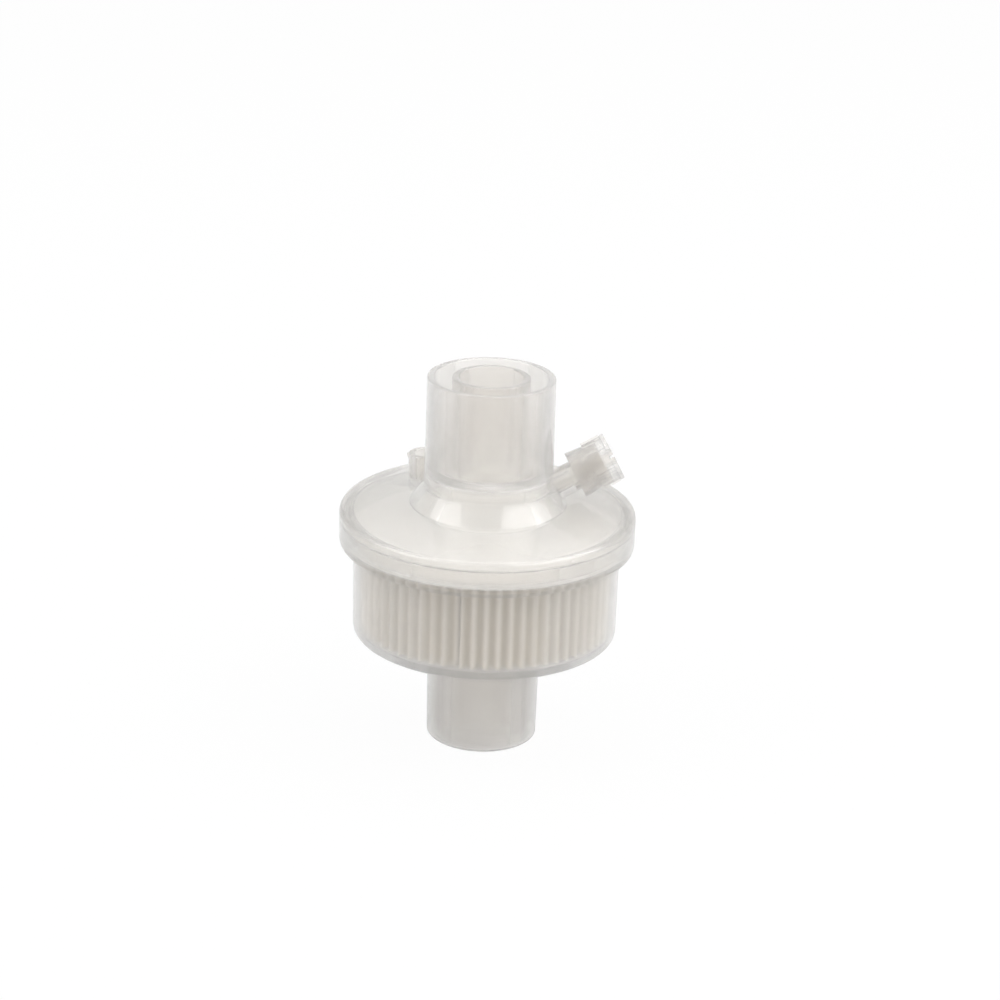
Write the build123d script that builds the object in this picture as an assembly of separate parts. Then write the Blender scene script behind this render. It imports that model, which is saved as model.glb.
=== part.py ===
from build123d import *
import math
import os

# Breathing circuit filter: two welded polypropylene shells that hold an electret
# filter disc and a wound roll of corrugated paper, with coaxial conical ports at
# both ends, a sampling port with a screw cap, and a post to park the cap on.
# Millimetres. The origin is the centre of the lower port's end face, +Z runs up the
# shared axis of the ports, and the sampling port leaves towards +X.

# Conical connectors, all with the standard taper of 1 in 40 on the diameter
TAPER = 1 / 40
SOCKET_22_MOUTH_D = 22.4
CONE_15_TIP_D = 15.2
CONE_22_TIP_D = 22.0
SOCKET_15_MOUTH_D = 15.47
UPPER_BORE_D = 12.6
LOWER_BORE_D = 14.0
UPPER_PORT_WALL = 1.25
UPPER_SOCKET_DEPTH = 18.0
LOWER_SOCKET_DEPTH = 16.5
UPPER_PORT_DRAFT = 0.2
SOCKET_FLOOR_WALL = 1.4
LOWER_OUTER_WALL = 1.2
LOWER_INNER_WALL = 1.22
LIP_BEVEL = 0.2

# Heights from the lower port's end face
LOWER_PORT_LENGTH = 22.5
CUP_HEIGHT = 18.3
SKIRT_HEIGHT = 5.3
UPPER_PORT_LENGTH = 25.55
CONE_HEIGHT = 3.85

# Widths of the housing
CUP_RADIUS = 26.3
FLANGE_OVERHANG = 2.8
CONE_SPREAD = 2.75

# Walls and draft
CUP_WALL = 1.3
FLOOR_WALL = 1.4
LID_WALL = 1.4
LEDGE_WALL = 1.4
SKIRT_WALL = 1.35
TONGUE_WALL = 1.2
TONGUE_GAP = 0.1
CUP_DRAFT = 0.12
LID_FALL = 1.5
RIM_WALL = 0.1
RIM_ROUND = 1.75
FLANGE_FOOT_ROUND = 1.1
CUP_FOOT_ROUND = 0.9

# Ribs on the cup's floor, which hold the paper roll clear so that gas can spread
FLOOR_RIB_COUNT = 8
FLOOR_RIB_WIDTH = 1.0
FLOOR_RIB_HEIGHT = 0.7
FLOOR_RIB_INSET = 1.2

# Filter disc, pinched between the lid's tongue and the ledge of the lower shell
DISC_PINCH = 0.8
DISC_EDGE_GAP = 0.15
DISC_SWELL = 0.9
DISC_SLOPE = 3.0

# Paper roll: a corrugated strip wound into a spiral, its flutes facing outwards
ROLL_CLEARANCE = 0.3
ROLL_TOP_GAP = 0.2
ROLL_EYE_RADIUS = 1.6
STRIP_THICKNESS = 1.9
STRIP_GAP = 0.2
FLUTE_COUNT = 65
FLUTE_PITCH_ANGLE = 5.567
FLUTE_START_ANGLE = -100.3
FLUTE_DEPTH = 0.95
FLUTE_WIDTH = 1.0
FLUTE_CREST_WIDTH = 0.5

# Sampling port: a female Luer cone whose axis rises from the filter's axis
PORT_AXIS_DROP = 4.21
PORT_AZIMUTH = 9.0
PORT_ELEVATION = 27.8
PORT_NECK_D = 6.0
PORT_HEAD_D = 6.5
PORT_HEAD_START = 20.4
PORT_END = 25.5
PORT_ROOT_DEPTH = 0.25
PORT_PASSAGE_D = 2.4
LUER_TAPER = 0.06
LUER_MOUTH_D = 4.3
LUER_DEPTH = 7.0

# Screw cap on the sampling port
CAP_COVER = 6.07
CAP_END_GAP = 0.26
CAP_END_WALL = 1.3
CAP_THREAD_GAP = 0.7
CAP_WAIST_WALL = 0.525
CAP_OPEN_FLARE = 0.325
CAP_SKIRT_LENGTH = 3.6
CAP_GRIP_STEP = 0.225
CAP_END_FLARE = 0.2
CAP_END_LENGTH = 0.8
CAP_END_SLOPE = 0.13
CAP_RIB_COUNT = 12
CAP_RIB_HEIGHT = 0.375
CAP_RIB_WIDTH = 0.7
CAP_SLOT_WIDTH = 0.45
CAP_SLOT_DEPTH = 0.8
CAP_SLOT_ANGLE = -23.0
PLUG_CLEARANCE = 0.05
PLUG_TIP_GAP = 1.0
PLUG_TIP_WALL = 1.3
PLUG_HOLLOW_D = 2.2

# Parking post for the cap, moulded on the lid beside the upper port
POST_AZIMUTH = 144.0
POST_D = 6.6
POST_BORE_D = 4.2
POST_HEIGHT = 6.25
POST_BORE_DEPTH = 5.4
POST_LUG = 0.7

# Heights and radii that follow from the sizes above
floor_z = LOWER_PORT_LENGTH
flange_z = floor_z + CUP_HEIGHT
seam_z = flange_z + SKIRT_HEIGHT
rim_z = seam_z + RIM_WALL + RIM_ROUND
lid_z = rim_z + LID_FALL
top_z = lid_z + UPPER_PORT_LENGTH
cone_top_z = lid_z + CONE_HEIGHT
socket_floor_z = top_z - UPPER_SOCKET_DEPTH
ledge_z = flange_z + LEDGE_WALL
floor_top_z = floor_z + FLOOR_WALL
roll_bottom_z = floor_top_z + FLOOR_RIB_HEIGHT
flange_r = CUP_RADIUS + FLANGE_OVERHANG
tongue_r = flange_r - SKIRT_WALL - TONGUE_GAP
tongue_inner_r = tongue_r - TONGUE_WALL
cup_inner_r = CUP_RADIUS - CUP_WALL
socket_r = SOCKET_22_MOUTH_D / 2
upper_port_r = socket_r + UPPER_PORT_WALL
cone_top_r = upper_port_r + UPPER_PORT_DRAFT
cone_foot_r = cone_top_r + CONE_SPREAD
throat_r = cone_top_r - UPPER_PORT_WALL
head_r = PORT_HEAD_D / 2
luer_mouth_r = LUER_MOUTH_D / 2


def conical(radius, length, taper=TAPER):
    """The radius of a cone after a length along it, for a taper on the diameter."""
    return radius + taper * length / 2


def turned(points):
    """A solid of revolution about Z from an outline given as (radius, height)."""
    outline = Polyline([(r, 0, z) for r, z in points], close=True)
    return revolve(make_face(outline), axis=Axis.Z)


def rings(solid, places):
    """The circular edges of a turned solid at the given (radius, height)."""
    found = []
    for ring_r, ring_z in places:
        for edge in solid.edges().filter_by(GeomType.CIRCLE):
            centre = edge.arc_center
            on_axis = math.hypot(centre.X, centre.Y) < 1e-3
            if on_axis and abs(edge.radius - ring_r) < 1e-3 and abs(centre.Z - ring_z) < 1e-3:
                found.append(edge)
    return found


# Plane of the sampling port: local Z runs out along its axis, local X is level
azimuth = math.radians(PORT_AZIMUTH)
elevation = math.radians(PORT_ELEVATION)
port_direction = Vector(
    math.cos(azimuth) * math.cos(elevation),
    math.sin(azimuth) * math.cos(elevation),
    math.sin(elevation),
)
port_plane = Plane(
    origin=(0, 0, lid_z - PORT_AXIS_DROP),
    x_dir=(-math.sin(azimuth), math.cos(azimuth), 0),
    z_dir=port_direction,
)


def port_cylinder(radius, start, end):
    """A round bar along the sampling port's axis, between two distances from its origin."""
    bar = Cylinder(radius, end - start, align=(Align.CENTER, Align.CENTER, Align.MIN))
    return port_plane * Pos(0, 0, start) * bar


def upper_housing():
    """The lid, with its coaxial port, sampling port, parking post and tongue."""
    bore_r = UPPER_BORE_D / 2
    cone_r = CONE_15_TIP_D / 2
    tongue_foot_z = ledge_z + DISC_PINCH
    under_z = lid_z - LID_WALL
    throat_z = cone_top_z - LID_WALL
    throat_top_z = socket_floor_z - SOCKET_FLOOR_WALL
    body = turned([
        (bore_r, throat_top_z),
        (bore_r, top_z),
        (cone_r, top_z),
        (conical(cone_r, UPPER_SOCKET_DEPTH), socket_floor_z),
        (conical(socket_r, -UPPER_SOCKET_DEPTH), socket_floor_z),
        (socket_r, top_z),
        (upper_port_r, top_z),
        (cone_top_r, cone_top_z),
        (cone_foot_r, lid_z),
        (flange_r, rim_z),
        (flange_r, seam_z),
        (tongue_r, seam_z),
        (tongue_r, tongue_foot_z),
        (tongue_inner_r, tongue_foot_z),
        (tongue_inner_r, rim_z - LID_WALL),
        (cone_foot_r - LID_WALL, under_z),
        (throat_r, throat_z),
        (throat_r, throat_top_z),
    ])
    body = fillet(rings(body, [(flange_r, rim_z)]), RIM_ROUND)
    lips = [(bore_r, top_z), (cone_r, top_z), (socket_r, top_z), (upper_port_r, top_z)]
    body = chamfer(rings(body, lips), LIP_BEVEL)

    # The sampling port's neck and head, ending flush with the wall of the throat
    port_root = (throat_r - PORT_ROOT_DEPTH) / math.cos(elevation)
    neck = port_cylinder(PORT_NECK_D / 2, port_root, PORT_END)
    head = port_cylinder(head_r, PORT_HEAD_START, PORT_END)
    inside = turned([
        (0, tongue_foot_z),
        (cone_foot_r - LID_WALL, tongue_foot_z),
        (cone_foot_r - LID_WALL, under_z),
        (throat_r, throat_z),
        (throat_r, throat_top_z),
        (0, throat_top_z),
    ])
    body = body + (neck - inside) + head + parking_post()

    # The sampling port's passage and its conical socket
    passage = port_cylinder(PORT_PASSAGE_D / 2, port_root - PORT_NECK_D, PORT_END)
    luer = port_plane * Pos(0, 0, PORT_END - LUER_DEPTH) * Cone(
        conical(luer_mouth_r, -LUER_DEPTH, LUER_TAPER), luer_mouth_r, LUER_DEPTH,
        align=(Align.CENTER, Align.CENTER, Align.MIN))
    return body - passage - luer


def parking_post():
    """An open tube against the upper port, with a wedge at its rim, for the loose cap."""
    angle = math.radians(POST_AZIMUTH)
    reach = upper_port_r + POST_D / 2
    place = Pos(reach * math.cos(angle), reach * math.sin(angle), lid_z + POST_HEIGHT)
    tube = Cylinder(POST_D / 2, POST_HEIGHT + LID_WALL / 2, align=(Align.CENTER, Align.CENTER, Align.MAX))
    bore = Cylinder(POST_BORE_D / 2, POST_BORE_DEPTH, align=(Align.CENTER, Align.CENTER, Align.MAX))
    lug_outline = Polyline(
        (-POST_D / 2 + POST_LUG / 2, 0, 0),
        (-POST_D / 2 - POST_LUG / 2, 0, -POST_LUG / 2),
        (-POST_D / 2 + POST_LUG / 2, 0, -POST_LUG * 3),
        close=True,
    )
    lug = extrude(make_face(lug_outline), POST_LUG / 2, dir=(0, 1, 0), both=True)
    return place * (tube + lug - bore)


def lower_housing():
    """The cup, with its double-walled port, floor ribs, ledge and skirt."""
    outer_r = CONE_22_TIP_D / 2
    outer_inner_r = outer_r - LOWER_OUTER_WALL
    bore_r = SOCKET_15_MOUTH_D / 2
    inner_tube_r = bore_r + LOWER_INNER_WALL
    passage_r = LOWER_BORE_D / 2
    foot_r = CUP_RADIUS - CUP_DRAFT
    body = turned([
        (bore_r, 0),
        (inner_tube_r, 0),
        (inner_tube_r, floor_z),
        (outer_inner_r, floor_z),
        (outer_inner_r, 0),
        (outer_r, 0),
        (conical(outer_r, floor_z), floor_z),
        (foot_r, floor_z),
        (CUP_RADIUS, flange_z),
        (flange_r, flange_z),
        (flange_r, seam_z),
        (flange_r - SKIRT_WALL, seam_z),
        (flange_r - SKIRT_WALL, ledge_z),
        (cup_inner_r, ledge_z),
        (cup_inner_r - CUP_DRAFT, floor_top_z),
        (passage_r, floor_top_z),
        (passage_r, LOWER_SOCKET_DEPTH),
        (conical(bore_r, -LOWER_SOCKET_DEPTH), LOWER_SOCKET_DEPTH),
    ])
    body = fillet(rings(body, [(flange_r, flange_z)]), FLANGE_FOOT_ROUND)
    body = fillet(rings(body, [(foot_r, floor_z)]), CUP_FOOT_ROUND)
    lips = [(bore_r, 0), (inner_tube_r, 0), (outer_inner_r, 0), (outer_r, 0)]
    body = chamfer(rings(body, lips), LIP_BEVEL)
    rib_start = passage_r + FLOOR_RIB_INSET
    rib_end = cup_inner_r - FLOOR_RIB_INSET
    rib = Pos(rib_start, 0, floor_top_z) * Box(
        rib_end - rib_start, FLOOR_RIB_WIDTH, FLOOR_RIB_HEIGHT,
        align=(Align.MIN, Align.CENTER, Align.MIN))
    return body + [Rot(0, 0, 360 / FLOOR_RIB_COUNT * i) * rib for i in range(FLOOR_RIB_COUNT)]


def filter_disc():
    """The electret disc: swollen in the middle and pinched flat at its rim."""
    edge_r = tongue_r + TONGUE_GAP - DISC_EDGE_GAP
    slope_end_r = tongue_inner_r - DISC_SWELL / 2
    pinch_z = ledge_z + DISC_PINCH
    return turned([
        (0, ledge_z),
        (edge_r, ledge_z),
        (edge_r, pinch_z),
        (slope_end_r, pinch_z),
        (slope_end_r - DISC_SLOPE, pinch_z + DISC_SWELL),
        (0, pinch_z + DISC_SWELL),
    ])


def paper_roll():
    """The wound strip as one solid: a spiral slot between turns, and flutes outside."""
    crest_r = cup_inner_r - CUP_DRAFT - ROLL_CLEARANCE
    valley_r = crest_r - FLUTE_DEPTH
    height = ledge_z - ROLL_TOP_GAP - roll_bottom_z
    base = Circle(valley_r) - Circle(ROLL_EYE_RADIUS)

    # A flute is a round-topped ridge on the outermost turn
    crest_half = FLUTE_CREST_WIDTH / 2
    foot_half = FLUTE_WIDTH / 2
    shoulder_r = crest_r - crest_half / 2
    sides = Polyline(
        (shoulder_r, crest_half), (valley_r, foot_half), (valley_r - crest_half, foot_half),
        (valley_r - crest_half, -foot_half), (valley_r, -foot_half), (shoulder_r, -crest_half),
    )
    ridge = sides + ThreePointArc((shoulder_r, -crest_half), (crest_r, 0), (shoulder_r, crest_half))
    ridge_face = make_face(ridge)
    ridges = [
        Rot(0, 0, FLUTE_START_ANGLE + FLUTE_PITCH_ANGLE * i) * ridge_face for i in range(FLUTE_COUNT)
    ]
    roll = Pos(0, 0, roll_bottom_z) * extrude(base + ridges, height)

    # The gap between turns is a spiral of half circles on two alternating centres
    pitch = STRIP_THICKNESS + STRIP_GAP
    radius = ROLL_EYE_RADIUS + pitch / 2
    side = 1
    path = []
    x = -radius
    while radius < valley_r - pitch:
        centre_x = x + side * radius
        far = centre_x + side * radius
        path.append(ThreePointArc((x, 0), (centre_x, side * radius), (far, 0)))
        x = far
        side = -side
        radius += pitch / 2
    slot_face = trace(Wire(Curve(children=path).edges()), STRIP_GAP)
    slot = Pos(0, 0, roll_bottom_z) * extrude(slot_face, height)
    return roll - slot


def luer_cap():
    """The screw cap: a collar round a conical plug, with grip ribs and an end slot."""
    bore_r = head_r + CAP_THREAD_GAP
    waist_r = bore_r + CAP_WAIST_WALL
    grip_r = waist_r + CAP_GRIP_STEP
    end_r = grip_r + CAP_END_FLARE
    inner_end = CAP_COVER + CAP_END_GAP
    length = inner_end + CAP_END_WALL + CAP_SLOT_DEPTH
    plate_start = length - CAP_END_LENGTH
    grip_end = plate_start - CAP_END_SLOPE
    plug_tip = CAP_COVER - LUER_DEPTH + PLUG_TIP_GAP
    plug_mouth_r = luer_mouth_r - PLUG_CLEARANCE
    body = turned([
        (0, plug_tip),
        (conical(plug_mouth_r, plug_tip - CAP_COVER, LUER_TAPER), plug_tip),
        (conical(plug_mouth_r, CAP_END_GAP, LUER_TAPER), inner_end),
        (bore_r, inner_end),
        (bore_r, 0),
        (waist_r + CAP_OPEN_FLARE, 0),
        (waist_r, CAP_SKIRT_LENGTH),
        (grip_r, CAP_SKIRT_LENGTH),
        (grip_r, grip_end),
        (end_r, plate_start),
        (end_r, length),
        (0, length),
    ])
    rib = Pos(grip_r - CAP_RIB_WIDTH / 2, 0, CAP_SKIRT_LENGTH) * Box(
        CAP_RIB_HEIGHT + CAP_RIB_WIDTH / 2, CAP_RIB_WIDTH, grip_end - CAP_SKIRT_LENGTH,
        align=(Align.MIN, Align.CENTER, Align.MIN))
    body += [Rot(0, 0, 360 / CAP_RIB_COUNT * i) * rib for i in range(CAP_RIB_COUNT)]
    hollow = Pos(0, 0, length) * Cylinder(
        PLUG_HOLLOW_D / 2, length - plug_tip - PLUG_TIP_WALL, align=(Align.CENTER, Align.CENTER, Align.MAX))
    slot = Pos(0, 0, length) * Box(
        end_r * 3, CAP_SLOT_WIDTH, CAP_SLOT_DEPTH, align=(Align.CENTER, Align.CENTER, Align.MAX))
    body = body - hollow - slot
    return port_plane * Pos(0, 0, PORT_END - CAP_COVER) * Rot(0, 0, CAP_SLOT_ANGLE) * body


parts = {
    "upper_housing": upper_housing(),
    "lower_housing": lower_housing(),
    "filter_disc": filter_disc(),
    "hme_paper_roll": paper_roll(),
    "luer_cap": luer_cap(),
}

os.makedirs("parts", exist_ok=True)
for name, solid in parts.items():
    export_step(solid, f"parts/{name}.step")
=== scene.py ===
import math

import bmesh
import bpy
from mathutils import Matrix, Vector


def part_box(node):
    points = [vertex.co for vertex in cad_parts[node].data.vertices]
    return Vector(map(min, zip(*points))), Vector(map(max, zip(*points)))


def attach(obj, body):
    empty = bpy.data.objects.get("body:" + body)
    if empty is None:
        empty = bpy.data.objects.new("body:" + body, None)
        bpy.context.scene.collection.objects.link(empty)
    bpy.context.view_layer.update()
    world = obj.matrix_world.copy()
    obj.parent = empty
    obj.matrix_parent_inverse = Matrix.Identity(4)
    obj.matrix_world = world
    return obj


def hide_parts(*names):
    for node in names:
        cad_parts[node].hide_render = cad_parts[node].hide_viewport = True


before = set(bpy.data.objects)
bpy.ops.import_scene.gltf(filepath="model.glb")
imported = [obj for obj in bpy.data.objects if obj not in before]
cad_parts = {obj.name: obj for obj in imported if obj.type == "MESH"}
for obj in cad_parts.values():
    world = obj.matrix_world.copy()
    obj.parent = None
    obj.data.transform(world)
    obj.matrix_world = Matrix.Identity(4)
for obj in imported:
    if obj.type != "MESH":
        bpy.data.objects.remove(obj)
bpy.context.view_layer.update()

# The camera stands where the photograph was taken from: half a metre off, looking down at
# about 21 degrees, with the frame turned by 1.9 degrees.
CAMERA_DISTANCE = 0.470
CAMERA_HEIGHT = 0.23085
CAMERA_PITCH = 0.368
CAMERA_YAW = 0.005
CAMERA_ROLL = 0.033
CAMERA_FOCAL_PIXELS = 2569.0
FRAME_PIXELS = 1000.0
SENSOR_MM = 36.0


def aim(location, forward, roll=0.0):
    """The matrix of a camera or a lamp that looks along forward, turned by roll."""
    forward = Vector(forward).normalized()
    right = forward.cross(Vector((0, 0, 1))).normalized()
    up = right.cross(forward)
    turned_right = right * math.cos(roll) + up * math.sin(roll)
    turned_up = up * math.cos(roll) - right * math.sin(roll)
    matrix = Matrix((turned_right, turned_up, -forward)).transposed().to_4x4()
    matrix.translation = Vector(location)
    return matrix


camera_data = bpy.data.cameras.new("camera")
camera_data.sensor_width = SENSOR_MM
camera_data.lens = CAMERA_FOCAL_PIXELS * SENSOR_MM / FRAME_PIXELS
camera = bpy.data.objects.new("camera", camera_data)
bpy.context.scene.collection.objects.link(camera)
camera.matrix_world = aim(
    (0, -CAMERA_DISTANCE, CAMERA_HEIGHT),
    (math.sin(CAMERA_YAW) * math.cos(CAMERA_PITCH), math.cos(CAMERA_YAW) * math.cos(CAMERA_PITCH),
     -math.sin(CAMERA_PITCH)),
    CAMERA_ROLL,
)
bpy.context.scene.camera = camera
bpy.context.scene.view_settings.view_transform = "Standard"

# The studio: a white sweep with a softbox at each side and a weak one overhead. The gap
# between the two side lamps leaves the middle of the part a little darker.
FLOOR_SIZE = 3.0
FLOOR_PAINT = 0.80
FLOOR_GLOW = 0.96
FLOOR_SEEN = 0.45
WORLD_FILL = 0.68


def stage_material():
    """A floor that the camera sees nearly white, with the shadow left on it."""
    material = bpy.data.materials.new("stage_white")
    material.use_nodes = True
    tree = material.node_tree
    tree.nodes.clear()
    out = tree.nodes.new("ShaderNodeOutputMaterial")
    mix = tree.nodes.new("ShaderNodeMixShader")
    glow = tree.nodes.new("ShaderNodeEmission")
    paint = tree.nodes.new("ShaderNodeBsdfDiffuse")
    path = tree.nodes.new("ShaderNodeLightPath")
    through = tree.nodes.new("ShaderNodeMath")
    dimmed = tree.nodes.new("ShaderNodeMath")
    direct = tree.nodes.new("ShaderNodeMath")
    share = tree.nodes.new("ShaderNodeMath")
    paint.inputs["Color"].default_value = (FLOOR_PAINT, FLOOR_PAINT, FLOOR_PAINT, 1)
    glow.inputs["Strength"].default_value = 1.0
    through.operation = "MAXIMUM"
    tree.links.new(path.outputs["Is Transmission Ray"], through.inputs[0])
    tree.links.new(path.outputs["Is Glossy Ray"], through.inputs[1])
    dimmed.operation = "MULTIPLY"
    tree.links.new(through.outputs[0], dimmed.inputs[0])
    dimmed.inputs[1].default_value = FLOOR_SEEN
    direct.operation = "MULTIPLY"
    tree.links.new(path.outputs["Is Camera Ray"], direct.inputs[0])
    direct.inputs[1].default_value = FLOOR_GLOW
    share.operation = "MAXIMUM"
    tree.links.new(dimmed.outputs[0], share.inputs[0])
    tree.links.new(direct.outputs[0], share.inputs[1])
    tree.links.new(share.outputs[0], mix.inputs["Fac"])
    tree.links.new(paint.outputs[0], mix.inputs[1])
    tree.links.new(glow.outputs[0], mix.inputs[2])
    tree.links.new(mix.outputs[0], out.inputs["Surface"])
    return material


floor_mesh = bpy.data.meshes.new("floor")
half = FLOOR_SIZE / 2
floor_corners = [(-half, -half, 0), (half, -half, 0), (half, half, 0), (-half, half, 0)]
floor_mesh.from_pydata(floor_corners, [], [(0, 1, 2, 3)])
floor = bpy.data.objects.new("floor", floor_mesh)
bpy.context.scene.collection.objects.link(floor)
floor.data.materials.append(stage_material())

world = bpy.data.worlds.new("studio")
world.use_nodes = True
bpy.context.scene.world = world
world_tree = world.node_tree
world_tree.nodes.clear()
world_out = world_tree.nodes.new("ShaderNodeOutputWorld")
world_light = world_tree.nodes.new("ShaderNodeBackground")
world_path = world_tree.nodes.new("ShaderNodeLightPath")
world_strength = WORLD_FILL
for ray in ("Is Transmission Ray", "Is Glossy Ray", "Is Camera Ray"):
    choice = world_tree.nodes.new("ShaderNodeMix")
    world_tree.links.new(world_path.outputs[ray], choice.inputs["Factor"])
    choice.inputs["B"].default_value = 1.0
    if isinstance(world_strength, float):
        choice.inputs["A"].default_value = world_strength
    else:
        world_tree.links.new(world_strength, choice.inputs["A"])
    world_strength = choice.outputs["Result"]
world_tree.links.new(world_strength, world_light.inputs["Strength"])
world_tree.links.new(world_light.outputs[0], world_out.inputs["Surface"])


MIDDLE_Z = 0.045


def softbox(name, azimuth, elevation, distance, width, height, watts):
    """A rectangular lamp aimed at the middle of the part."""
    data = bpy.data.lights.new(name, "AREA")
    data.shape = "RECTANGLE"
    data.size = width
    data.size_y = height
    data.energy = watts
    lamp = bpy.data.objects.new(name, data)
    bpy.context.scene.collection.objects.link(lamp)
    level = math.cos(math.radians(elevation))
    away = Vector((
        math.sin(math.radians(azimuth)) * level,
        -math.cos(math.radians(azimuth)) * level,
        math.sin(math.radians(elevation)),
    ))
    lamp.matrix_world = aim(away * distance + Vector((0, 0, MIDDLE_Z)), -away)
    return lamp


softbox("softbox_left", -78, 45, 0.9, 0.62, 0.62, 3.4)
softbox("softbox_right", 78, 45, 0.9, 1.10, 0.62, 6.2)
softbox("softbox_top", 178, 72, 1.0, 0.80, 0.50, 2.4)

# The shells' plastic: natural polypropylene, injection moulded. It is a milky, half-clear
# resin with a soft gloss: it shows what lies against it and hides what lies further behind.
PLASTIC_TINT = (0.990, 0.964, 0.932)
PLASTIC_CLEAR = 0.79
PLASTIC_HAZE = 0.15
PLASTIC_SOLID = 0.70
PLASTIC_INDEX = 1.49
PLASTIC_DEPTH_TINT = (0.44, 0.48, 0.52)
PLASTIC_DENSITY = 20.0
PLASTIC_COAT = 0.5
PLASTIC_COAT_HAZE = 0.04
GRAIN_RELIEF = 0.00002


def haze_group():
    """Clouding and flow marks of moulded resin: a colour, a roughness and a normal."""
    group = bpy.data.node_groups.new("moulded_resin", "ShaderNodeTree")
    sockets = group.interface
    for name, kind, value in (
        ("Tint", "NodeSocketColor", (*PLASTIC_TINT, 1)),
        ("Haze", "NodeSocketFloat", PLASTIC_HAZE),
        ("Cloud Size", "NodeSocketFloat", 90.0),
        ("Cloud Depth", "NodeSocketFloat", 0.05),
        ("Grain Size", "NodeSocketFloat", 2600.0),
        ("Grain Depth", "NodeSocketFloat", 0.02),
    ):
        socket = sockets.new_socket(name, in_out="INPUT", socket_type=kind)
        socket.default_value = value
    sockets.new_socket("Colour", in_out="OUTPUT", socket_type="NodeSocketColor")
    sockets.new_socket("Roughness", in_out="OUTPUT", socket_type="NodeSocketFloat")
    sockets.new_socket("Normal", in_out="OUTPUT", socket_type="NodeSocketVector")
    nodes, links = group.nodes, group.links
    given = nodes.new("NodeGroupInput")
    result = nodes.new("NodeGroupOutput")
    place = nodes.new("ShaderNodeTexCoord")
    cloud = nodes.new("ShaderNodeTexNoise")
    cloud.inputs["Detail"].default_value = 3.0
    links.new(place.outputs["Object"], cloud.inputs["Vector"])
    links.new(given.outputs["Cloud Size"], cloud.inputs["Scale"])
    grain = nodes.new("ShaderNodeTexNoise")
    grain.inputs["Detail"].default_value = 2.0
    links.new(place.outputs["Object"], grain.inputs["Vector"])
    links.new(given.outputs["Grain Size"], grain.inputs["Scale"])

    def maths(kind, first, second):
        node = nodes.new("ShaderNodeMath")
        node.operation = kind
        for socket, value in zip(node.inputs, (first, second)):
            if isinstance(value, float):
                socket.default_value = value
            else:
                links.new(value, socket)
        return node.outputs[0]

    swing = maths("SUBTRACT", cloud.outputs["Fac"], 0.5)
    depth = maths("MULTIPLY", swing, given.outputs["Cloud Depth"])
    lift = maths("ADD", depth, 1.0)
    shade = nodes.new("ShaderNodeVectorMath")
    shade.operation = "SCALE"
    links.new(given.outputs["Tint"], shade.inputs[0])
    links.new(lift, shade.inputs["Scale"])
    links.new(shade.outputs[0], result.inputs["Colour"])
    rough = maths("ADD", given.outputs["Haze"], maths("MULTIPLY", depth, 1.5))
    links.new(rough, result.inputs["Roughness"])
    bump = nodes.new("ShaderNodeBump")
    bump.inputs["Distance"].default_value = GRAIN_RELIEF
    links.new(given.outputs["Grain Depth"], bump.inputs["Strength"])
    links.new(grain.outputs["Fac"], bump.inputs["Height"])
    links.new(bump.outputs["Normal"], result.inputs["Normal"])
    return group


resin = haze_group()


def resin_material(name, clear=PLASTIC_CLEAR, haze=PLASTIC_HAZE, solid=PLASTIC_SOLID):
    """Half-clear moulded plastic, with the resin's clouding and its own clarity."""
    material = bpy.data.materials.new(name)
    material.use_nodes = True
    tree = material.node_tree
    shader = tree.nodes["Principled BSDF"]
    shader.inputs["Transmission Weight"].default_value = clear
    shader.inputs["IOR"].default_value = PLASTIC_INDEX
    shader.inputs["Alpha"].default_value = solid
    shader.inputs["Coat Weight"].default_value = PLASTIC_COAT
    shader.inputs["Coat Roughness"].default_value = PLASTIC_COAT_HAZE
    look = tree.nodes.new("ShaderNodeGroup")
    look.node_tree = resin
    look.inputs["Haze"].default_value = haze
    tree.links.new(look.outputs["Colour"], shader.inputs["Base Color"])
    tree.links.new(look.outputs["Roughness"], shader.inputs["Roughness"])
    tree.links.new(look.outputs["Normal"], shader.inputs["Normal"])
    depth = tree.nodes.new("ShaderNodeVolumeAbsorption")
    depth.inputs["Color"].default_value = (*PLASTIC_DEPTH_TINT, 1)
    depth.inputs["Density"].default_value = PLASTIC_DENSITY
    tree.links.new(depth.outputs[0], tree.nodes["Material Output"].inputs["Volume"])
    return material


shell_plastic = resin_material("natural_polypropylene")

# The upper shell is the lid of the housing, moulded in one with the coaxial port, the
# sampling port and the post for its cap. The lathe outline below follows the real section,
# and a port's cone of 1 in 40 gains 1 in 80 on its radius.
ROUND_STEPS = 192
TONGUE_HEIGHT = 0.0031
RIM_WALL = 0.0001
RIM_ROUND = 0.00175
LID_RISE = 0.0015
CONE_HEIGHT = 0.00385
SOCKET_DEPTH = 0.018
LID_WALL = 0.0014
SKIRT_WALL = 0.00135
TONGUE_GAP = 0.0001
TONGUE_WALL = 0.0012
CONE_RUN = 80
upper_low, upper_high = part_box("upper_housing")
TOP_Z = upper_high.z
FLANGE_R = upper_high.x
TONGUE_FOOT_Z = upper_low.z
SEAM_Z = TONGUE_FOOT_Z + TONGUE_HEIGHT
RIM_Z = SEAM_Z + RIM_WALL + RIM_ROUND
LID_Z = RIM_Z + LID_RISE
CONE_TOP_Z = LID_Z + CONE_HEIGHT
SOCKET_FLOOR_Z = TOP_Z - SOCKET_DEPTH
TONGUE_R = FLANGE_R - SKIRT_WALL - TONGUE_GAP
TONGUE_INNER_R = TONGUE_R - TONGUE_WALL
CONE_FOOT_R = 0.0154
CONE_TOP_R = 0.01265
THROAT_R = 0.0114
SOCKET_R = 0.0112
OUTER_R = 0.01245
INNER_TUBE_R = 0.0076
BORE_R = 0.0063
TAPER_FALL = SOCKET_DEPTH / CONE_RUN
EDGE = 0.0001
SEAM_EDGE = 0.00015
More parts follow.
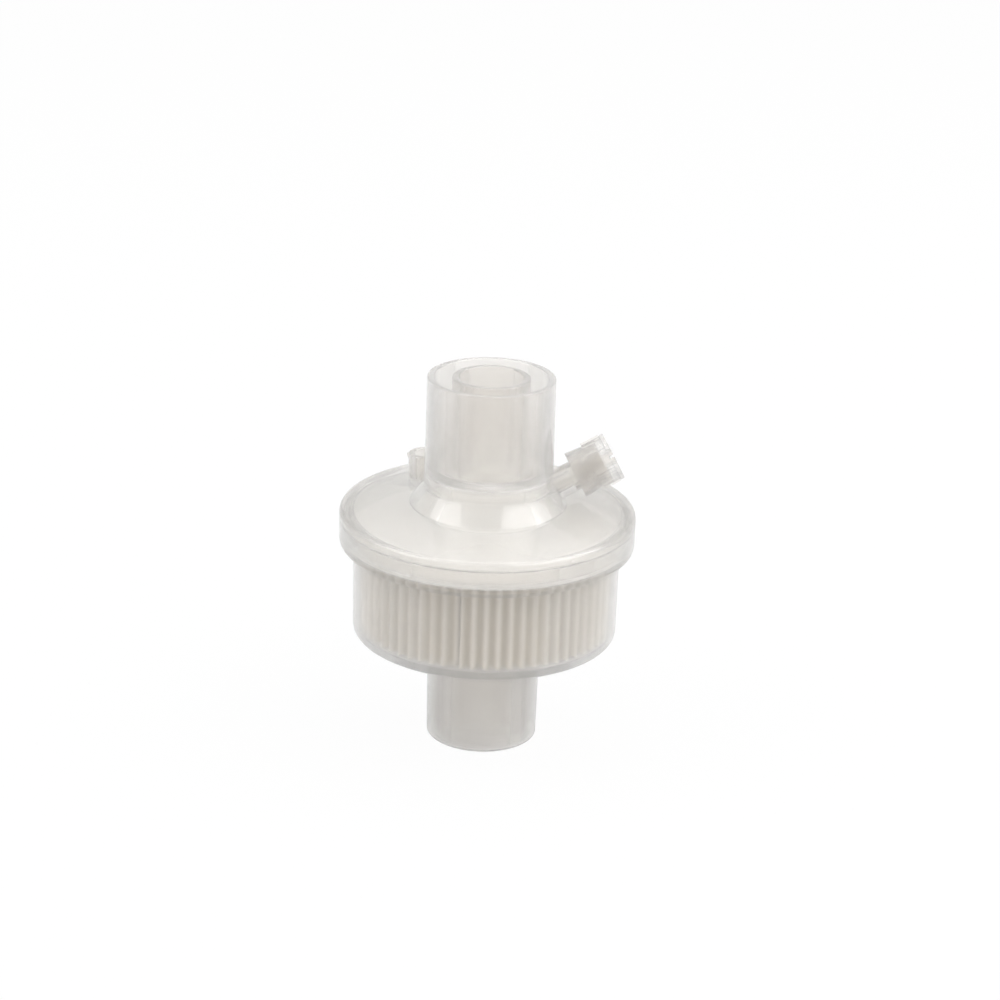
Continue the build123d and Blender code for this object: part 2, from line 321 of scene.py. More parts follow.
SMALL_ROUND = 0.0002
LIP = 0.00025
SOFT_ROUND = 0.0003
FOOT_ROUND = 0.0004
ROOT_ROUND = 0.0005
FOLD_ROUND = 0.0006
NECK_ROUND = 0.0008


def soft_outline(corners, steps=4):
    """Points (radius, height) of a closed outline, with each corner rounded as it says."""
    points = []
    count = len(corners)
    for i, (r, z, rounding) in enumerate(corners):
        here = Vector((r, z))
        if rounding <= 0:
            points.append(here)
            continue
        before = Vector(corners[i - 1][:2]) - here
        after = Vector(corners[(i + 1) % count][:2]) - here
        limit = 0.49 * min(before.length, after.length)
        before.normalize()
        after.normalize()
        half_angle = before.angle(after) / 2
        reach = min(rounding / math.tan(half_angle), limit)
        radius = reach * math.tan(half_angle)
        centre = here + (before + after).normalized() * radius / math.sin(half_angle)
        start = here + before * reach - centre
        turn = start.angle_signed(here + after * reach - centre)
        for k in range(steps + 1):
            points.append(centre + Matrix.Rotation(-turn * k / steps, 2) @ start)
    return points


def lathe(name, outline, turns=ROUND_STEPS):
    """A closed mesh turned about Z from an outline of (radius, height) points."""
    shape = bmesh.new()
    rings = []
    for j in range(turns):
        angle = 2 * math.pi * j / turns
        across, along = math.cos(angle), math.sin(angle)
        rings.append([shape.verts.new((r * across, r * along, z)) for r, z in outline])
    for j in range(turns):
        near, far = rings[j], rings[(j + 1) % turns]
        for i in range(len(outline)):
            k = (i + 1) % len(outline)
            shape.faces.new((near[i], far[i], far[k], near[k]))
    bmesh.ops.remove_doubles(shape, verts=shape.verts, dist=1e-7)
    bmesh.ops.dissolve_degenerate(shape, edges=shape.edges, dist=1e-8)
    bmesh.ops.recalc_face_normals(shape, faces=shape.faces)
    mesh = bpy.data.meshes.new(name)
    shape.to_mesh(mesh)
    shape.free()
    piece = bpy.data.objects.new(name, mesh)
    bpy.context.scene.collection.objects.link(piece)
    return piece


def joined(piece, others, operation):
    """Cut other meshes from a piece, or unite them with it, and drop the others."""
    for other in others:
        step = piece.modifiers.new(operation, "BOOLEAN")
        step.operation = operation
        step.solver = "EXACT"
        step.object = other
        graph = bpy.context.evaluated_depsgraph_get()
        mesh = bpy.data.meshes.new_from_object(piece.evaluated_get(graph))
        piece.modifiers.clear()
        old = piece.data
        piece.data = mesh
        bpy.data.meshes.remove(old)
        bpy.data.objects.remove(other)
    return piece


def finished(piece, material, crease_degrees=32):
    """Smooth faces up to a crease angle, with one material."""
    piece.data.materials.clear()
    piece.data.materials.append(material)
    piece.data.shade_smooth()
    piece.data.set_sharp_from_angle(angle=math.radians(crease_degrees))
    return piece


upper = lathe("upper_shell", soft_outline([
    (BORE_R, SOCKET_FLOOR_Z - LID_WALL, FOOT_ROUND),
    (BORE_R, TOP_Z, LIP),
    (INNER_TUBE_R, TOP_Z, LIP),
    (INNER_TUBE_R + TAPER_FALL, SOCKET_FLOOR_Z, ROOT_ROUND),
    (SOCKET_R - TAPER_FALL, SOCKET_FLOOR_Z, ROOT_ROUND),
    (SOCKET_R, TOP_Z, LIP),
    (OUTER_R, TOP_Z, LIP),
    (CONE_TOP_R, CONE_TOP_Z, NECK_ROUND),
    (CONE_FOOT_R, LID_Z, FOLD_ROUND),
    (FLANGE_R, RIM_Z, RIM_ROUND),
    (FLANGE_R, SEAM_Z, SEAM_EDGE),
    (TONGUE_R, SEAM_Z, EDGE),
    (TONGUE_R, TONGUE_FOOT_Z, SMALL_ROUND),
    (TONGUE_INNER_R, TONGUE_FOOT_Z, SMALL_ROUND),
    (TONGUE_INNER_R, RIM_Z - LID_WALL, FOLD_ROUND),
    (CONE_FOOT_R - LID_WALL, LID_Z - LID_WALL, FOLD_ROUND),
    (THROAT_R, CONE_TOP_Z - LID_WALL, NECK_ROUND),
    (THROAT_R, SOCKET_FLOOR_Z - LID_WALL, NECK_ROUND),
]))

# The sampling port is a female Luer cone on a short neck. Its head carries a two-start
# thread, and the neck runs into the lid's cone at 28 degrees above the level.
PORT_AXIS_Z = 0.04524
PORT_AZIMUTH = 9.0
PORT_RISE = 27.8
PORT_NECK_R = 0.0030
PORT_HEAD_R = 0.00325
PORT_HEAD_STEP = 0.0003
PORT_HEAD_START = 0.0204
PORT_END = 0.0255
PORT_ROOT = 0.0128
PORT_PASSAGE_R = 0.0012
LUER_MOUTH_R = 0.00215
LUER_DEPTH = 0.007
LUER_FALL = 0.00021
LUER_REACH = 0.006
INSIDE_REACH = 0.02
CUT_MARGIN = 0.001
THREAD_LEAD = 0.005
THREAD_STARTS = 2
PORT_THREAD_DEPTH = 0.00045
PORT_THREAD_WIDTH = 0.0009
PORT_THREAD_TURNS = 0.8
PORT_STEPS = 96
RIDGE_STEPS = 48
RIDGE_END = 0.25
RIDGE_RAMP = 12.0


def port_frame(along=0.0, turn=0.0):
    """The place of a mesh made about Z, moved onto the sampling port's axis."""
    level = Matrix.Rotation(math.radians(PORT_AZIMUTH), 4, "Z")
    tip = Matrix.Rotation(math.radians(90 - PORT_RISE), 4, "Y")
    quarter = Matrix.Rotation(math.radians(90 + turn), 4, "Z")
    start = Matrix.Translation((0, 0, PORT_AXIS_Z))
    return start @ level @ tip @ Matrix.Translation((0, 0, along)) @ quarter


class Field:
    """A number that varies over a shape, worked out by math nodes in a node tree."""

    def __init__(self, tree, socket):
        self.tree = tree
        self.socket = socket

    def maths(self, kind, *others):
        node = self.tree.nodes.new("ShaderNodeMath")
        node.operation = kind
        for place, value in zip(node.inputs, (self, *others)):
            if isinstance(value, Field):
                self.tree.links.new(value.socket, place)
            else:
                place.default_value = value
        return Field(self.tree, node.outputs[0])

    def __add__(self, other):
        return self.maths("ADD", other)

    def __sub__(self, other):
        return self.maths("SUBTRACT", other)

    def __mul__(self, other):
        return self.maths("MULTIPLY", other)

    def __truediv__(self, other):
        return self.maths("DIVIDE", other)

    def __pow__(self, other):
        return self.maths("POWER", other)


def node_shape(name, inputs):
    """A new geometry tree with named inputs: the tree and a Field for each number."""
    tree = bpy.data.node_groups.new(name, "GeometryNodeTree")
    tree.is_modifier = True
    given = tree.nodes.new("NodeGroupInput")
    tree.nodes.new("NodeGroupOutput")
    fields = {}
    for label, value in inputs.items():
        if isinstance(value, bpy.types.Material):
            kind = "NodeSocketMaterial"
        elif isinstance(value, int):
            kind = "NodeSocketInt"
        else:
            kind = "NodeSocketFloat"
        tree.interface.new_socket(label, in_out="INPUT", socket_type=kind)
        fields[label] = Field(tree, given.outputs[label])
    tree.interface.new_socket("Geometry", in_out="OUTPUT", socket_type="NodeSocketGeometry")
    return tree, fields


def placed(tree, kind, links, **settings):
    """A node of a kind, with its named inputs linked or set."""
    node = tree.nodes.new(kind)
    for label, value in settings.items():
        setattr(node, label, value)
    for label, value in links.items():
        socket = value.socket if isinstance(value, Field) else value
        if isinstance(socket, bpy.types.NodeSocket):
            tree.links.new(socket, node.inputs[label])
        else:
            node.inputs[label].default_value = socket
    return node


def grown(name, tree, last, inputs):
    """Finish a tree with its realised shape and material, and bake it into a plain mesh."""
    fields = next(node for node in tree.nodes if node.bl_idname == "NodeGroupInput").outputs
    whole = placed(tree, "GeometryNodeRealizeInstances", {"Geometry": last})
    clad = placed(tree, "GeometryNodeSetMaterial", {
        "Geometry": whole.outputs[0], "Material": fields["Material"],
    })
    result = next(node for node in tree.nodes if node.bl_idname == "NodeGroupOutput")
    tree.links.new(clad.outputs[0], result.inputs["Geometry"])
    grower = bpy.data.objects.new(name, bpy.data.meshes.new(name))
    bpy.context.scene.collection.objects.link(grower)
    step = grower.modifiers.new(name, "NODES")
    step.node_group = tree
    for item in tree.interface.items_tree:
        if item.in_out == "INPUT":
            step[item.identifier] = inputs[item.name]
    graph = bpy.context.evaluated_depsgraph_get()
    mesh = bpy.data.meshes.new_from_object(
        grower.evaluated_get(graph), preserve_all_data_layers=True, depsgraph=graph)
    grower.modifiers.clear()
    grower.data = mesh
    return grower


def turned_index(tree, count):
    """The angle of each of count copies round a full turn, in radians."""
    index = Field(tree, tree.nodes.new("GeometryNodeInputIndex").outputs[0])
    return index * (2 * math.pi) / count


def thread_ridges(name, inputs):
    """Helical ridges about Z, thinning out at their ends, one for each start."""
    tree, given = node_shape(name, inputs)
    helix = placed(tree, "GeometryNodeCurveSpiral", {
        "Resolution": RIDGE_STEPS, "Rotations": given["Turns"], "Start Radius": given["Radius"],
        "End Radius": given["Radius"], "Height": given["Turns"] * given["Lead"],
    })
    along = Field(tree, tree.nodes.new("GeometryNodeSplineParameter").outputs["Factor"])
    from_end = along.maths("MINIMUM", along * -1.0 + 1.0) * RIDGE_RAMP
    thinning = placed(tree, "GeometryNodeSetCurveRadius", {
        "Curve": helix.outputs[0], "Radius": (from_end + RIDGE_END).maths("MINIMUM", 1.0),
    })
    upright = placed(tree, "GeometryNodeSetCurveNormal", {"Curve": thinning.outputs[0]}, mode="Z_UP")
    section = placed(tree, "GeometryNodeCurvePrimitiveQuadrilateral", {
        "Height": given["Width"], "Width": given["Depth"] * 2.0,
    }, mode="RECTANGLE")
    ridge = placed(tree, "GeometryNodeCurveToMesh", {
        "Curve": upright.outputs[0], "Profile Curve": section.outputs[0], "Fill Caps": True,
    })
    starts = placed(tree, "GeometryNodeMeshLine", {"Count": given["Starts"], "Offset": (0, 0, 0)})
    turn = placed(tree, "ShaderNodeCombineXYZ", {"Z": turned_index(tree, given["Starts"])})
    copies = placed(tree, "GeometryNodeInstanceOnPoints", {
        "Points": starts.outputs[0], "Instance": ridge.outputs[0], "Rotation": turn.outputs[0],
    })
    return grown(name, tree, copies.outputs[0], inputs)


neck = lathe("neck", soft_outline([
    (0.0, PORT_ROOT, 0),
    (PORT_NECK_R, PORT_ROOT, 0),
    (PORT_NECK_R, PORT_HEAD_START, SMALL_ROUND),
    (PORT_HEAD_R, PORT_HEAD_START + PORT_HEAD_STEP, EDGE),
    (PORT_HEAD_R, PORT_END, SMALL_ROUND),
    (0.0, PORT_END, 0),
]), turns=PORT_STEPS)
port_thread = thread_ridges("port_thread", {
    "Radius": PORT_HEAD_R,
    "Lead": THREAD_LEAD,
    "Turns": PORT_THREAD_TURNS,
    "Width": PORT_THREAD_WIDTH,
    "Depth": PORT_THREAD_DEPTH,
    "Starts": THREAD_STARTS,
    "Material": shell_plastic,
})
thread_start = PORT_END - PORT_THREAD_TURNS * THREAD_LEAD - PORT_THREAD_WIDTH / 2
port_thread.data.transform(Matrix.Translation((0, 0, thread_start)))
neck = joined(neck, [port_thread], "UNION")
neck.data.transform(port_frame())

inside = lathe("inside", [
    (0.0, LID_Z - INSIDE_REACH),
    (CONE_FOOT_R - LID_WALL, LID_Z - INSIDE_REACH),
    (CONE_FOOT_R - LID_WALL, LID_Z - LID_WALL),
    (THROAT_R, CONE_TOP_Z - LID_WALL),
    (THROAT_R, SOCKET_FLOOR_Z - LID_WALL),
    (0.0, SOCKET_FLOOR_Z - LID_WALL),
])
neck = joined(neck, [inside], "DIFFERENCE")

# The post is an open tube beside the upper port. The loose cap is pushed onto it while a
# sampling line is connected; a small wedge at its rim keeps the cap from slipping.
POST_AXIS_R = 0.01575
POST_AZIMUTH = 144.0
POST_R = 0.0033
POST_BORE_R = 0.0021
POST_HEIGHT = 0.00625
POST_BORE_DEPTH = 0.0054
POST_BORE_DRAFT = 0.0001
POST_LUG = 0.0007
post_place = Matrix.Translation((
    POST_AXIS_R * math.cos(math.radians(POST_AZIMUTH)),
    POST_AXIS_R * math.sin(math.radians(POST_AZIMUTH)),
    LID_Z + POST_HEIGHT,
))
post = lathe("post", soft_outline([
    (0.0, -POST_BORE_DEPTH, 0),
    (POST_BORE_R - POST_BORE_DRAFT, -POST_BORE_DEPTH, SMALL_ROUND),
    (POST_BORE_R, 0, LIP),
    (POST_R, 0, LIP),
    (POST_R, -POST_HEIGHT - LID_WALL / 2, 0),
    (0.0, -POST_HEIGHT - LID_WALL / 2, 0),
]), turns=72)
lug_mesh = bpy.data.meshes.new("lug")
lug_side = [
    (-POST_R + POST_LUG / 2, 0),
    (-POST_R - POST_LUG / 2, -POST_LUG / 2),
    (-POST_R + POST_LUG / 2, -POST_LUG * 3),
]
lug_points = [(x, y, z) for y in (-POST_LUG / 2, POST_LUG / 2) for x, z in lug_side]
lug_faces = [(0, 1, 2), (5, 4, 3), (0, 3, 4, 1), (1, 4, 5, 2), (2, 5, 3, 0)]
lug_mesh.from_pydata(lug_points, [], lug_faces)
lug = bpy.data.objects.new("lug", lug_mesh)
bpy.context.scene.collection.objects.link(lug)
post = joined(post, [lug], "UNION")
post.data.transform(post_place)

luer = lathe("luer", soft_outline([
    (0.0, PORT_ROOT - LUER_REACH, 0),
    (PORT_PASSAGE_R, PORT_ROOT - LUER_REACH, 0),
    (PORT_PASSAGE_R, PORT_END - LUER_DEPTH, 0),
    (LUER_MOUTH_R - LUER_FALL, PORT_END - LUER_DEPTH, 0),
    (LUER_MOUTH_R, PORT_END, 0),
    (LUER_MOUTH_R, PORT_END + CUT_MARGIN, 0),
    (0.0, PORT_END + CUT_MARGIN, 0),
]), turns=64)
luer.data.transform(port_frame())
upper = joined(upper, [neck, post], "UNION")
upper = joined(upper, [luer], "DIFFERENCE")
finished(upper, shell_plastic)
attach(upper, "filter_body")
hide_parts("upper_housing")

# The lower shell is the cup round the paper roll, moulded in one with a double-walled
# port: a 22 mm cone outside, a 15 mm socket inside, and a gap between them.
CUP_FOOT_Z = 0.0225
CUP_HEIGHT = 0.0183
CUP_FLOOR_WALL = 0.0014
LEDGE_WALL = 0.0014
CUP_DRAFT = 0.00012
LEDGE_UNDER_Z = CUP_FOOT_Z + CUP_HEIGHT
LEDGE_Z = LEDGE_UNDER_Z + LEDGE_WALL
CUP_R = 0.0263
CUP_FOOT_R = CUP_R - CUP_DRAFT
CUP_INNER_R = 0.0250
CUP_FLOOR_Z = CUP_FOOT_Z + CUP_FLOOR_WALL
CUP_FOOT_ROUND = 0.0009
FLANGE_FOOT_ROUND = 0.0011
PORT_TIP_R = 0.0110
PORT_WALL_R = 0.0098
SOCKET_15_R = 0.007735
SOCKET_15_WALL_R = 0.008955
SOCKET_15_DEPTH = 0.0165
PASSAGE_R = 0.0070
SKIRT_INNER_R = FLANGE_R - SKIRT_WALL
FLOOR_RIBS = 8
FLOOR_RIB_LENGTH = 0.0156
FLOOR_RIB_WIDTH = 0.0010
FLOOR_RIB_HEIGHT = 0.0007
FLOOR_RIB_SINK = 0.0002


def ring_of_bars(name, inputs):
    """Equal bars set round Z, each with its length along the radius."""
    tree, given = node_shape(name, inputs)
    size = placed(tree, "ShaderNodeCombineXYZ", {
        "X": given["Length"], "Y": given["Width"], "Z": given["Height"],
    })
    bar = placed(tree, "GeometryNodeMeshCube", {"Size": size.outputs[0]})
    out = placed(tree, "ShaderNodeCombineXYZ", {"X": given["Radius"]})
    moved = placed(tree, "GeometryNodeTransform", {
        "Geometry": bar.outputs[0], "Translation": out.outputs[0],
    })
    spots = placed(tree, "GeometryNodeMeshLine", {"Count": given["Count"], "Offset": (0, 0, 0)})
    turn = placed(tree, "ShaderNodeCombineXYZ", {"Z": turned_index(tree, given["Count"])})
    copies = placed(tree, "GeometryNodeInstanceOnPoints", {
        "Points": spots.outputs[0], "Instance": moved.outputs[0], "Rotation": turn.outputs[0],
    })
    return grown(name, tree, copies.outputs[0], inputs)


lower = lathe("lower_shell", soft_outline([
    (SOCKET_15_R, 0, LIP),
    (SOCKET_15_WALL_R, 0, LIP),
    (SOCKET_15_WALL_R, CUP_FOOT_Z, SOFT_ROUND),
    (PORT_WALL_R, CUP_FOOT_Z, SOFT_ROUND),
    (PORT_WALL_R, 0, LIP),
    (PORT_TIP_R, 0, LIP),
    (PORT_TIP_R + CUP_FOOT_Z / CONE_RUN, CUP_FOOT_Z, ROOT_ROUND),
    (CUP_FOOT_R, CUP_FOOT_Z, CUP_FOOT_ROUND),
    (CUP_R, LEDGE_UNDER_Z, FOOT_ROUND),
    (FLANGE_R, LEDGE_UNDER_Z, FLANGE_FOOT_ROUND),
    (FLANGE_R, SEAM_Z, SEAM_EDGE),
    (SKIRT_INNER_R, SEAM_Z, EDGE),
    (SKIRT_INNER_R, LEDGE_Z, SOFT_ROUND),
    (CUP_INNER_R, LEDGE_Z, SOFT_ROUND),
    (CUP_INNER_R - CUP_DRAFT, CUP_FLOOR_Z, ROOT_ROUND),
    (PASSAGE_R, CUP_FLOOR_Z, SOFT_ROUND),
    (PASSAGE_R, SOCKET_15_DEPTH, EDGE),
    (SOCKET_15_R - SOCKET_15_DEPTH / CONE_RUN, SOCKET_15_DEPTH, 0),
]))
floor_ribs = ring_of_bars("floor_ribs", {
    "Count": FLOOR_RIBS,
    "Radius": (PASSAGE_R + CUP_INNER_R) / 2,
    "Length": FLOOR_RIB_LENGTH,
    "Width": FLOOR_RIB_WIDTH,
    "Height": FLOOR_RIB_HEIGHT + FLOOR_RIB_SINK,
    "Material": shell_plastic,
})
rib_z = CUP_FLOOR_Z + (FLOOR_RIB_HEIGHT - FLOOR_RIB_SINK) / 2
floor_ribs.data.transform(Matrix.Translation((0, 0, rib_z)))
lower = joined(lower, [floor_ribs], "UNION")
finished(lower, shell_plastic)
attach(lower, "filter_body")
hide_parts("lower_housing")

# The paper roll is the heat and moisture exchanger: a strip of corrugated paper with a flat
# liner, wound into a spiral. The flutes of its last turn stand against the cup's wall.
# The paper's cream is lifted to full brightness on the flutes' crests, a painted light, and darkened
# to brown in their valleys, a painted shade; the flutes' rise mixes the two.
PAPER_CREAM_CREST_PAINTED_LIGHT = (1.0, 0.955, 0.88)
PAPER_VALLEY_PAINTED_SHADE = (0.55, 0.49, 0.39)
FIBRE_SCALE = 2200.0
FIBRE_RELIEF = 0.00004
roll_low, roll_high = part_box("hme_paper_roll")
FLUTE_ANGLE = 5.567
FLUTE_START = -100.3
FLUTE_DEPTH = 0.00095
FLUTE_SHARPNESS = 1.9
TURN_PITCH = 0.0021
TURN_STEPS = 650
TURN_COUNT = 10
PAPER_THICKNESS = 0.00022
SEAM_ANGLE = 4.0
ROLL_CREST_R = 0.02458


def paper_material():
    """Cream absorbent paper: fibres, a matt face, painted light on the flutes' crests and painted
    shade in their valleys.
    """
    material = bpy.data.materials.new("corrugated_paper")
    material.use_nodes = True
    tree = material.node_tree
    nodes, links = tree.nodes, tree.links
    shader = nodes["Principled BSDF"]
    place = nodes.new("ShaderNodeTexCoord")
    stretch = nodes.new("ShaderNodeMapping")
    stretch.inputs["Scale"].default_value = (1.0, 1.0, 0.25)
    fibre = nodes.new("ShaderNodeTexNoise")
    fibre.inputs["Scale"].default_value = FIBRE_SCALE
    fibre.inputs["Detail"].default_value = 4.0
    rise = nodes.new("ShaderNodeAttribute")
    rise.attribute_name = "rise"
    # Painted shade in the valleys and painted light on the crests, mixed by the flutes' rise.
    painted_flute_light_and_shade = nodes.new("ShaderNodeMix")
    painted_flute_light_and_shade.data_type = "RGBA"
    painted_flute_light_and_shade.inputs["A"].default_value = (*PAPER_VALLEY_PAINTED_SHADE, 1)
    painted_flute_light_and_shade.inputs["B"].default_value = (*PAPER_CREAM_CREST_PAINTED_LIGHT, 1)
    speckle = nodes.new("ShaderNodeMapRange")
    speckle.inputs["To Min"].default_value = 0.92
    speckle.inputs["To Max"].default_value = 1.05
    shade = nodes.new("ShaderNodeVectorMath")
    shade.operation = "SCALE"
    bump = nodes.new("ShaderNodeBump")
    bump.inputs["Strength"].default_value = 0.3
    bump.inputs["Distance"].default_value = FIBRE_RELIEF
    shader.inputs["Roughness"].default_value = 0.9
    shader.inputs["Specular IOR Level"].default_value = 0.2
    links.new(place.outputs["Object"], stretch.inputs["Vector"])
    links.new(stretch.outputs[0], fibre.inputs["Vector"])
    links.new(rise.outputs["Fac"], painted_flute_light_and_shade.inputs["Factor"])
    links.new(fibre.outputs["Fac"], speckle.inputs["Value"])
    links.new(painted_flute_light_and_shade.outputs["Result"], shade.inputs[0])
    links.new(speckle.outputs[0], shade.inputs["Scale"])
    links.new(shade.outputs[0], shader.inputs["Base Color"])
    links.new(fibre.outputs["Fac"], bump.inputs["Height"])
    links.new(bump.outputs["Normal"], shader.inputs["Normal"])
    return material


paper = paper_material()


def wound_strip(name, inputs):
    """A strip wound from the cup's wall inwards: one round turn, then a spiral."""
    tree, given = node_shape(name, inputs)
    index = Field(tree, tree.nodes.new("GeometryNodeInputIndex").outputs[0])
    turns = index / given["Turn Steps"]
    inner = (turns - 1.0).maths("MAXIMUM", 0.0)
    near_seam = (turns - 1.0) * 360.0 / given["Seam Angle"] + 1.0
    dive = near_seam.maths("MAXIMUM", 0.0).maths("MINIMUM", 1.0)
    radius = given["Crest Radius"] - (inner + dive) * given["Turn Pitch"]
    outer_run = turns.maths("MINIMUM", 1.0) * given["Crest Radius"]
    inner_start = given["Crest Radius"] - given["Turn Pitch"]
    inner_run = inner * inner_start - inner * inner * given["Turn Pitch"] / 2.0
    run = (outer_run + inner_run) * (2 * math.pi)
    wave = ((run / given["Flute Length"]) * (2 * math.pi)).maths("COSINE") * 0.5 + 0.5
    rise = wave ** given["Flute Sharpness"]
    reach = radius - (rise * -1.0 + 1.0) * given["Flute Depth"] - given["Inset"]
    angle = turns * (2 * math.pi) + given["Start Angle"]
    spot = placed(tree, "ShaderNodeCombineXYZ", {
        "X": reach * angle.maths("COSINE"), "Y": reach * angle.maths("SINE"),
    })
    line = placed(tree, "GeometryNodeMeshLine", {"Count": given["Points"], "Offset": (0, 0, 0)})
    path = placed(tree, "GeometryNodeSetPosition", {
        "Geometry": line.outputs[0], "Position": spot.outputs[0],
    })
    # The flutes' rise is kept on the strip, for the paper's painted light on the crests and painted
    # shade in the valleys.
    marked = placed(tree, "GeometryNodeStoreNamedAttribute", {
        "Geometry": path.outputs[0], "Name": "rise", "Value": rise,
    }, data_type="FLOAT", domain="POINT")
    curve = placed(tree, "GeometryNodeMeshToCurve", {"Mesh": marked.outputs[0]})
    upright = placed(tree, "GeometryNodeSetCurveNormal", {"Curve": curve.outputs[0]}, mode="Z_UP")
    section = placed(tree, "GeometryNodeCurvePrimitiveQuadrilateral", {
        "Width": given["Thickness"], "Height": given["Height"],
    }, mode="RECTANGLE")
    strip = placed(tree, "GeometryNodeCurveToMesh", {
        "Curve": upright.outputs[0], "Profile Curve": section.outputs[0], "Fill Caps": True,
    })
    return grown(name, tree, strip.outputs[0], inputs)


strip_sizes = {
    "Crest Radius": ROLL_CREST_R - PAPER_THICKNESS / 2,
    "Turn Pitch": TURN_PITCH,
    "Turn Steps": TURN_STEPS,
    "Points": TURN_STEPS * TURN_COUNT,
    "Seam Angle": SEAM_ANGLE,
    "Flute Length": ROLL_CREST_R * math.radians(FLUTE_ANGLE),
    "Flute Sharpness": FLUTE_SHARPNESS,
    "Flute Depth": FLUTE_DEPTH,
    "Inset": 0.0,
    "Start Angle": math.radians(FLUTE_START),
    "Thickness": PAPER_THICKNESS,
    "Height": roll_high.z - roll_low.z,
    "Material": paper,
}
fluted = wound_strip("fluted_strip", strip_sizes)
liner = wound_strip("liner_strip", {
    **strip_sizes,
    "Flute Depth": 0.0,
    "Inset": FLUTE_DEPTH + PAPER_THICKNESS * 1.2,
})
sheets = bmesh.new()
sheets.from_mesh(fluted.data)
sheets.from_mesh(liner.data)
bmesh.ops.recalc_face_normals(sheets, faces=sheets.faces)
sheets.to_mesh(fluted.data)
sheets.free()
bpy.data.objects.remove(liner)
roll = fluted
roll.name = "paper_roll"
roll.data.transform(Matrix.Translation((0, 0, (roll_high.z + roll_low.z) / 2)))
finished(roll, paper, 50)
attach(roll, "filter_body")
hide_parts("hme_paper_roll")

# The filter disc is a pad of white electret fleece, cut from sheet. Its rim is pinched between
# the two shells where they are welded, and the pad swells up inside that rim.
FLEECE_WHITE = (0.93, 0.93, 0.91)
FLEECE_ROUGHNESS = 0.95
fleece = bpy.data.materials.new("electret_fleece")
fleece.use_nodes = True
fleece_shader = fleece.node_tree.nodes["Principled BSDF"]
fleece_shader.inputs["Base Color"].default_value = (*FLEECE_WHITE, 1)
fleece_shader.inputs["Roughness"].default_value = FLEECE_ROUGHNESS
DISC_SIDE_GAP = 0.00045
DISC_SLOPE = 0.003
DISC_SHOULDER_ROUND = 0.0012
DISC_TOP_ROUND = 0.0015
disc_low, disc_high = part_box("filter_disc")
disc = lathe("fleece_disc", soft_outline([
    (0.0, disc_low.z, 0),
    (disc_high.x, disc_low.z, EDGE),
    (disc_high.x, TONGUE_FOOT_Z, EDGE),
    (TONGUE_INNER_R - DISC_SIDE_GAP, TONGUE_FOOT_Z, DISC_SHOULDER_ROUND),
    (TONGUE_INNER_R - DISC_SIDE_GAP - DISC_SLOPE, disc_high.z, DISC_TOP_ROUND),
    (0.0, disc_high.z, 0),
], steps=8))
finished(disc, fleece)
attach(disc, "filter_body")
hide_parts("filter_disc")

# The cap screws onto the sampling port: a collar with grip ribs and a Luer thread round a
# hollow plug, and a coin slot across its end.
CAP_START = 0.01943
CAP_LENGTH = 0.00843
CAP_BORE_R = 0.00395
CAP_OPEN_R = 0.0048
CAP_WAIST_R = 0.004475
CAP_SKIRT = 0.0036
CAP_GRIP = 0.0039
CAP_GRIP_R = 0.0047
CAP_END_R = 0.0049
CAP_END_BAND = 0.0008
CAP_RIBS = 12
CAP_RIB_TIP_R = 0.005075
CAP_RIB_WIDTH = 0.0007
CAP_RIB_LENGTH = 0.0006
CAP_RIB_LIFT = 0.00001
CAP_SLOT_WIDTH = 0.00045
CAP_SLOT_DEPTH = 0.0008
CAP_SLOT_TURN = -23.0
PLUG_TIP_Z = 0.00007
PLUG_TIP_R = 0.00192
PLUG_BASE_R = 0.0021
PLUG_HOLLOW_R = 0.0011
PLUG_HOLLOW_FOOT_Z = 0.0013
CAP_INNER_END = 0.00633
CAP_STEPS = 144
CAP_THREAD_START = 0.0008
CAP_THREAD_TURNS = 0.95
CAP_THREAD_WIDTH = 0.0007
CAP_THREAD_DEPTH = 0.00022
CAP_THREAD_TURN = 70.0
CAP_HAZE = 0.12

cap_plastic = resin_material("cap_polypropylene", haze=CAP_HAZE)

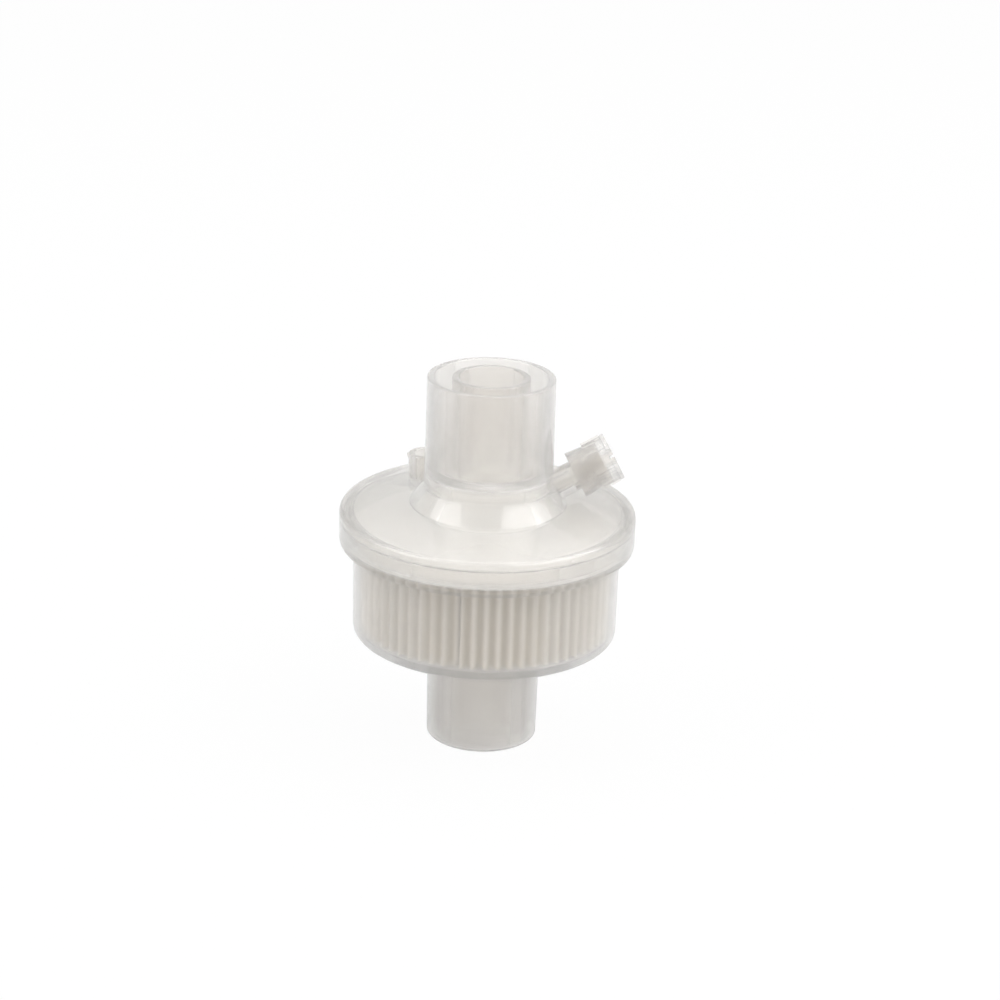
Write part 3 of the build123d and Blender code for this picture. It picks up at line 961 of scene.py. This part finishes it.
cap = lathe("screw_cap", soft_outline([
    (CAP_BORE_R, CAP_INNER_END, SOFT_ROUND),
    (CAP_BORE_R, 0, SMALL_ROUND),
    (CAP_OPEN_R, 0, EDGE),
    (CAP_WAIST_R, CAP_SKIRT, EDGE),
    (CAP_GRIP_R, CAP_SKIRT, EDGE),
    (CAP_GRIP_R, CAP_SKIRT + CAP_GRIP, EDGE),
    (CAP_END_R, CAP_LENGTH - CAP_END_BAND, EDGE),
    (CAP_END_R, CAP_LENGTH, SEAM_EDGE),
    (PLUG_HOLLOW_R, CAP_LENGTH, EDGE),
    (PLUG_HOLLOW_R, PLUG_HOLLOW_FOOT_Z, SMALL_ROUND),
    (0.0, PLUG_HOLLOW_FOOT_Z, 0),
    (0.0, PLUG_TIP_Z, 0),
    (PLUG_TIP_R, PLUG_TIP_Z, SMALL_ROUND),
    (PLUG_BASE_R, CAP_INNER_END, SMALL_ROUND),
]), turns=CAP_STEPS)
grip_ribs = ring_of_bars("grip_ribs", {
    "Count": CAP_RIBS,
    "Radius": CAP_RIB_TIP_R - CAP_RIB_LENGTH / 2,
    "Length": CAP_RIB_LENGTH,
    "Width": CAP_RIB_WIDTH,
    "Height": CAP_GRIP,
    "Material": cap_plastic,
})
grip_z = CAP_SKIRT + CAP_GRIP / 2 + CAP_RIB_LIFT
grip_ribs.data.transform(Matrix.Translation((0, 0, grip_z)))
cap_thread = thread_ridges("cap_thread", {
    "Radius": CAP_BORE_R,
    "Lead": THREAD_LEAD,
    "Turns": CAP_THREAD_TURNS,
    "Width": CAP_THREAD_WIDTH,
    "Depth": CAP_THREAD_DEPTH,
    "Starts": THREAD_STARTS,
    "Material": cap_plastic,
})
thread_turn = Matrix.Rotation(math.radians(CAP_THREAD_TURN), 4, "Z")
cap_thread.data.transform(Matrix.Translation((0, 0, CAP_THREAD_START)) @ thread_turn)
cap = joined(cap, [grip_ribs, cap_thread], "UNION")
slot_mesh = bpy.data.meshes.new("slot")
reach = CAP_END_R * 1.3
slot_points = [
    (x, y, z)
    for x in (-reach, reach)
    for y in (-CAP_SLOT_WIDTH / 2, CAP_SLOT_WIDTH / 2)
    for z in (CAP_LENGTH - CAP_SLOT_DEPTH, CAP_LENGTH + CUT_MARGIN)
]
slot_faces = [(0, 1, 3, 2), (4, 6, 7, 5), (0, 4, 5, 1), (2, 3, 7, 6), (0, 2, 6, 4), (1, 5, 7, 3)]
slot_mesh.from_pydata(slot_points, [], slot_faces)
cap_slot = bpy.data.objects.new("cap_slot", slot_mesh)
bpy.context.scene.collection.objects.link(cap_slot)
cap = joined(cap, [cap_slot], "DIFFERENCE")
cap.data.transform(port_frame(CAP_START, CAP_SLOT_TURN))
finished(cap, cap_plastic)
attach(cap, "cap")
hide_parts("luer_cap")
